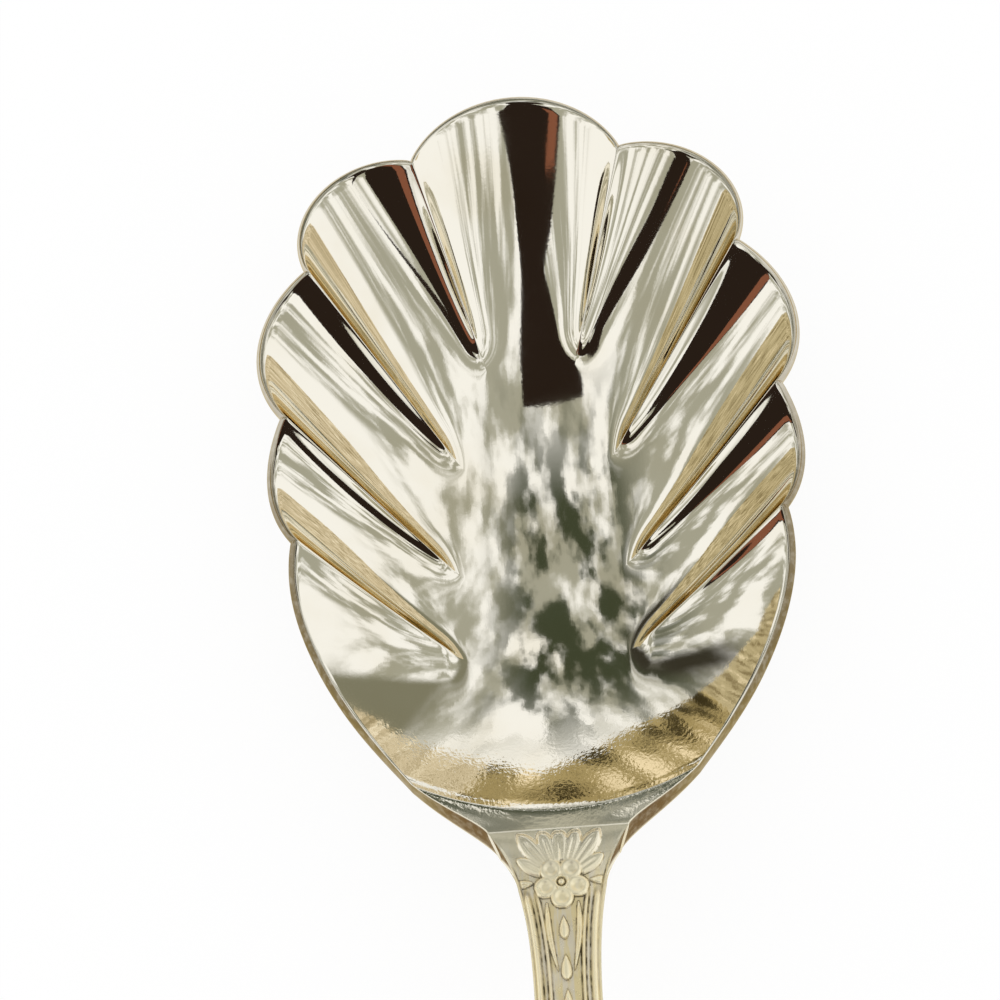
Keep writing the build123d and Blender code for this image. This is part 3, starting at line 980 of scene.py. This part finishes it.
def silver_plate(name, slot, gloss):
    """Warm silver plate with a light patina, hairlines, grime in its hollows, and wear and painted shade on
    the side walls of its rims.
    """
    base = next(item for item in frame["record"]["materials"] if item["slot"] == slot)["base_color"]
    material = bpy.data.materials.new(name)
    material.use_nodes = True
    graph = Graph(material.node_tree)
    place = graph.add("TexCoord").outputs["Object"]
    labels = ("wear", "grime", "peel", "film", "rub")
    wear, dirt, hammered, dull, rubbed = [graph.share_of(label) for label in labels]

    patches = graph.noise(place, PATCH_SCALE, detail=3.0, roughness=0.6)
    dirt = graph.math("MULTIPLY", dirt, graph.ramp(patches, *DIRT_BAND, DIRT_LEAST, 1.0))
    # Rims darken to brown over their side walls: partly worn plate, partly painted shade
    rim = graph.math("MULTIPLY", wear, graph.ramp(patches, *RIM_BAND, RIM_LEAST, 1.0))
    rim_wear_and_shade_tint = graph.mix(graph.ramp(dull, *JOINT_BAND), EDGE_WEAR_AND_SHADE, HANDLE_EDGE_WEAR_AND_SHADE)
    tint = graph.mix(dirt, plate_tint(graph, place, colour(*base), dull, rubbed), TARNISH)
    tint = graph.mix(rim, tint, rim_wear_and_shade_tint)
    additions = ((rim, RIM_ROUGHNESS), (dirt, DIRT_ROUGHNESS), (dull, FILM_ROUGHNESS))
    rough = plate_roughness(graph, place, gloss, additions)
    metal_share = graph.math("SUBTRACT", 1.0, graph.math("MULTIPLY", dull, FILM_DULLNESS))
    normal = plate_normal(graph, place, hammered)
    shader = graph.add("BsdfPrincipled", {"Base Color": tint, "Metallic": metal_share, "Roughness": rough,
                                          "Specular Tint": EDGE_SHEEN, "Normal": normal})
    output = graph.add("OutputMaterial")
    graph.put(output.inputs["Surface"], shader.outputs["BSDF"])
    return material


# Stage


WHITE = colour(1.0, 1.0, 1.0)

# Cards and gauze hung inside a white tent, sizes in metres, which only the polished metal shows.
# One tint is a plain card, or gauze where it has folds; three are a crinkled card's dark, middle and light
TENT_RADIUS = 2.0
CARD_GAP = 0.02
CARD_STEPS = 60
Card = namedtuple("Card", "name tints rows cover softness folds shift", defaults=(1.0, 0.0, 0.0, 0.0))

# Folds of gauze and creases of crinkled cards: their stretch, and the bands of a noise that they are cut from
FOLD_STRETCH = (1.5, 0.85, 0.85)
GAUZE_BAND = (0.58, 0.43)
CREASE_BAND = (0.36, 0.5)
SHINE_BAND = (0.52, 0.68)

# Rows across a card: degrees from overhead towards the handle, and the card's two edges in degrees sideways
WIDE_GAUZE = Card("wide_gauze", [colour(0.25, 0.245, 0.155)],
                  [(-78, -62, 42), (-10, -62, 42), (6, -62, 62), (70, -62, 62)],
                  cover=0.8, softness=0.1, folds=2.6, shift=2.0)
OVERHEAD_GAUZE = Card("overhead_gauze", [colour(0.055, 0.065, 0.036)], [(-86, -34, 17), (6, -34, 17)],
                      softness=0.3, folds=3.8, shift=1.7)
OLIVE_CARD = Card("olive_card", [colour(0.22, 0.215, 0.15)], [(-70, 13, 46), (-51, 13, 46)], softness=0.2)
BROWN_CARD = Card("brown_card", [colour(0.04, 0.036, 0.025)], [(-62, -40, -13), (-47, -40, -13)],
                  softness=0.4)
DARK_FLAG = Card("dark_flag", [colour(0.022, 0.014, 0.010)],
                 [(-4.5, -15, 1.5), (5, -15, 1.5), (11, -11, 0), (17, -27, 2), (19, -33, 5), (21, -36.5, 12),
                  (22.5, -37, -8), (27, -39, -5), (31, -41, 3), (38, -44, 8), (60, -54, 9)])
RUST_STRIP = Card("rust_strip", [colour(0.24, 0.09, 0.05)], [(17, -25, -18), (20, -34, -26), (60, -52, -44)])

# Rows down a warm card: degrees sideways, and its two edges in degrees from overhead towards the handle
GOLD_FOIL = Card("gold_foil",
                 [colour(0.045, 0.034, 0.012), colour(0.42, 0.33, 0.15), colour(0.95, 0.80, 0.54)],
                 [(-24, -63, -89), (-10, -72, -89), (0, -81, -89), (5, -77, -89)], folds=6.0, shift=2.7)
WARM_RIGHT = Card("warm_card_right",
                  [colour(0.25, 0.195, 0.095), colour(0.51, 0.43, 0.25), colour(0.82, 0.70, 0.47)],
                  [(-72, -34, -89), (-58, -22, -89), (-50, -34, -89), (-40, -51, -89), (-30, -59, -89),
                   (-24, -63, -89)], folds=22.0)
WARM_LEFT = Card("warm_card_left",
                 [colour(0.38, 0.31, 0.18), colour(0.67, 0.57, 0.39), colour(0.96, 0.87, 0.68)],
                 [(5, -77, -89), (24, -63, -89), (30, -60, -89), (40, -54, -89), (50, -36, -89),
                  (58, -28, -89), (72, -40, -89)], folds=22.0)

# Floor: its reach in metres, its drop under the spoon in millimetres, and the share of it that is plain white
FLOOR_REACH = 2.0
FLOOR_DROP = 0.1
FLOOR_WHITENESS = 0.87


def on_the_tent(sideways, towards_handle, radius):
    """Points on the tent by their angles in degrees, as seen from the bowl."""
    sideways, towards_handle = np.radians(sideways), np.radians(towards_handle)
    level = np.cos(sideways)
    points = stack(np.sin(sideways), -level * np.sin(towards_handle), level * np.cos(towards_handle))
    return points * radius + np.array([0.0, BOWL_AT, 0.0])


def card_angles(card):
    """Angles over a card, along and across its rows, and how much it covers there."""
    rows = np.array(card.rows, dtype=float)
    share = np.linspace(0, 1, CARD_STEPS)
    place = rows[0, 0] + (rows[-1, 0] - rows[0, 0]) * share
    near, far = [np.interp(place, rows[:, 0], rows[:, k]) for k in (1, 2)]
    edge = near[:, None] + (far - near)[:, None] * share
    from_edge = np.minimum(share, 1 - share)
    fade = smooth_step(from_edge / card.softness) if card.softness else np.ones_like(share)
    return np.broadcast_to(place[:, None], edge.shape), edge, card.cover * fade[:, None] * fade


def make_card(card, points, cover):
    """One card that only the metal shows: the camera, the light and the shadows pass it by."""
    mesh = bpy.data.meshes.new(card.name)
    mesh.from_pydata(points.reshape(-1, 3).tolist(), [], grid_faces(CARD_STEPS, CARD_STEPS, 0))
    layer = mesh.attributes.new("cover", "FLOAT", "POINT")
    layer.data.foreach_set("value", cover.ravel().astype(np.float32))
    piece = bpy.data.objects.new(card.name, mesh)
    bpy.context.scene.collection.objects.link(piece)
    piece.visible_camera = False
    piece.visible_diffuse = False
    piece.visible_shadow = False
    mesh.materials.append(card_material(card))


def card_material(card):
    """Flat colour, with holes in gauze and creases in a crinkled card."""
    material = bpy.data.materials.new(card.name)
    material.use_nodes = True
    graph = Graph(material.node_tree)
    share = graph.share_of("cover")
    tint = card.tints[0]
    if card.folds:
        place = graph.add("TexCoord").outputs["Object"]
        place = graph.stretched(place, FOLD_STRETCH, (0.0, card.shift, 0.0))
        folds = graph.noise(place, card.folds, detail=4.0, roughness=0.55)
    if card.folds and len(card.tints) == 1:
        share = graph.math("MULTIPLY", share, graph.ramp(folds, *GAUZE_BAND))
    if len(card.tints) == 3:
        tint = graph.mix(graph.ramp(folds, *CREASE_BAND), card.tints[0], card.tints[1])
        tint = graph.mix(graph.ramp(folds, *SHINE_BAND), tint, card.tints[2])
    clear = graph.add("BsdfTransparent")
    cloth = graph.add("Emission", {"Color": tint, "Strength": 1.0})
    surface = graph.add("MixShader", {0: share, 1: clear.outputs[0], 2: cloth.outputs[0]})
    output = graph.add("OutputMaterial")
    graph.put(output.inputs["Surface"], surface.outputs[0])
    return material


def make_cards():
    """All cards: six that hang one in front of another, and the warm ones side by side before them."""
    radius = TENT_RADIUS
    for card in (WIDE_GAUZE, OVERHEAD_GAUZE, OLIVE_CARD, BROWN_CARD, DARK_FLAG, RUST_STRIP):
        towards_handle, sideways, cover = card_angles(card)
        make_card(card, on_the_tent(sideways, towards_handle, radius), cover)
        radius -= CARD_GAP
    for card in (GOLD_FOIL, WARM_RIGHT, WARM_LEFT):
        sideways, towards_handle, cover = card_angles(card)
        make_card(card, on_the_tent(sideways, towards_handle, radius), cover)


def make_world():
    """Plain white light from all round."""
    world = bpy.data.worlds.new("tent")
    world.use_nodes = True
    bpy.context.scene.world = world
    graph = Graph(world.node_tree)
    plain = graph.add("Background", {"Color": WHITE, "Strength": 1.0})
    output = graph.add("OutputWorld")
    graph.put(output.inputs["Surface"], plain.outputs[0])


def make_floor():
    """White table that keeps a faint shadow."""
    mesh = bpy.data.meshes.new("floor")
    signs = [(-1, -1), (1, -1), (1, 1), (-1, 1)]
    corners = [(x * FLOOR_REACH, y * FLOOR_REACH, 0.0) for x, y in signs]
    mesh.from_pydata(corners, [], [(0, 1, 2, 3)])
    floor = bpy.data.objects.new("floor", mesh)
    floor.location.z = -FLOOR_DROP * MM
    bpy.context.scene.collection.objects.link(floor)
    material = bpy.data.materials.new("white_table")
    material.use_nodes = True
    graph = Graph(material.node_tree)
    rays = graph.add("LightPath").outputs
    seen = graph.math("MAXIMUM", rays["Is Camera Ray"], rays["Is Glossy Ray"])
    seen = graph.math("MAXIMUM", seen, rays["Is Transmission Ray"])
    dull = graph.add("BsdfDiffuse", {"Color": WHITE})
    white = graph.add("Emission", {"Color": WHITE, "Strength": 1.0})
    share = graph.math("MULTIPLY", seen, FLOOR_WHITENESS)
    surface = graph.add("MixShader", {0: share, 1: dull.outputs[0], 2: white.outputs[0]})
    output = graph.add("OutputMaterial")
    graph.put(output.inputs["Surface"], surface.outputs[0])
    mesh.materials.append(material)


def make_camera():
    """Camera at the photograph's place, angle and lens."""
    azimuth, elevation, roll = [math.radians(v) for v in (CAMERA_AZIMUTH, CAMERA_ELEVATION, CAMERA_ROLL)]
    flat = math.cos(elevation)
    back = Vector((math.sin(azimuth) * flat, -math.cos(azimuth) * flat, math.sin(elevation)))
    level = (-back).cross(Vector((0, 0, 1))).normalized()
    upward = level.cross(-back)
    right = math.cos(roll) * level + math.sin(roll) * upward
    top = math.cos(roll) * upward - math.sin(roll) * level
    aim = Vector(CAMERA_AIM) * MM + Vector((0.0, BOWL_AT, 0.0))
    place = aim + back * CAMERA_DISTANCE * MM
    data = bpy.data.cameras.new("camera")
    data.sensor_width = SENSOR_WIDTH
    data.lens = FOCAL_SHARE * SENSOR_WIDTH
    data.clip_start = CLIP_NEAR * MM
    data.clip_end = CLIP_FAR * MM
    camera = bpy.data.objects.new("camera", data)
    turn = Matrix((right, top, back)).transposed().to_4x4()
    camera.matrix_world = Matrix.Translation(place) @ turn
    bpy.context.scene.collection.objects.link(camera)
    bpy.context.scene.camera = camera


def dress(piece, node, material):
    """Puts a piece in the place of a solid of the frame."""
    piece.data.materials.append(material)
    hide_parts(node)
    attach(piece, "root")


make_camera()
make_world()
make_cards()
make_floor()
bpy.context.scene.view_settings.view_transform = "Standard"
dress(make_bowl(), "bowl", silver_plate("bowl_silver", "bowl_plate", BOWL_GLOSS))
dress(make_handle(), "handle", silver_plate("handle_silver", "handle_plate", HANDLE_GLOSS))
dress(make_braze_line(), "braze_seam", silver_plate("solder_silver", "solder", HANDLE_GLOSS))
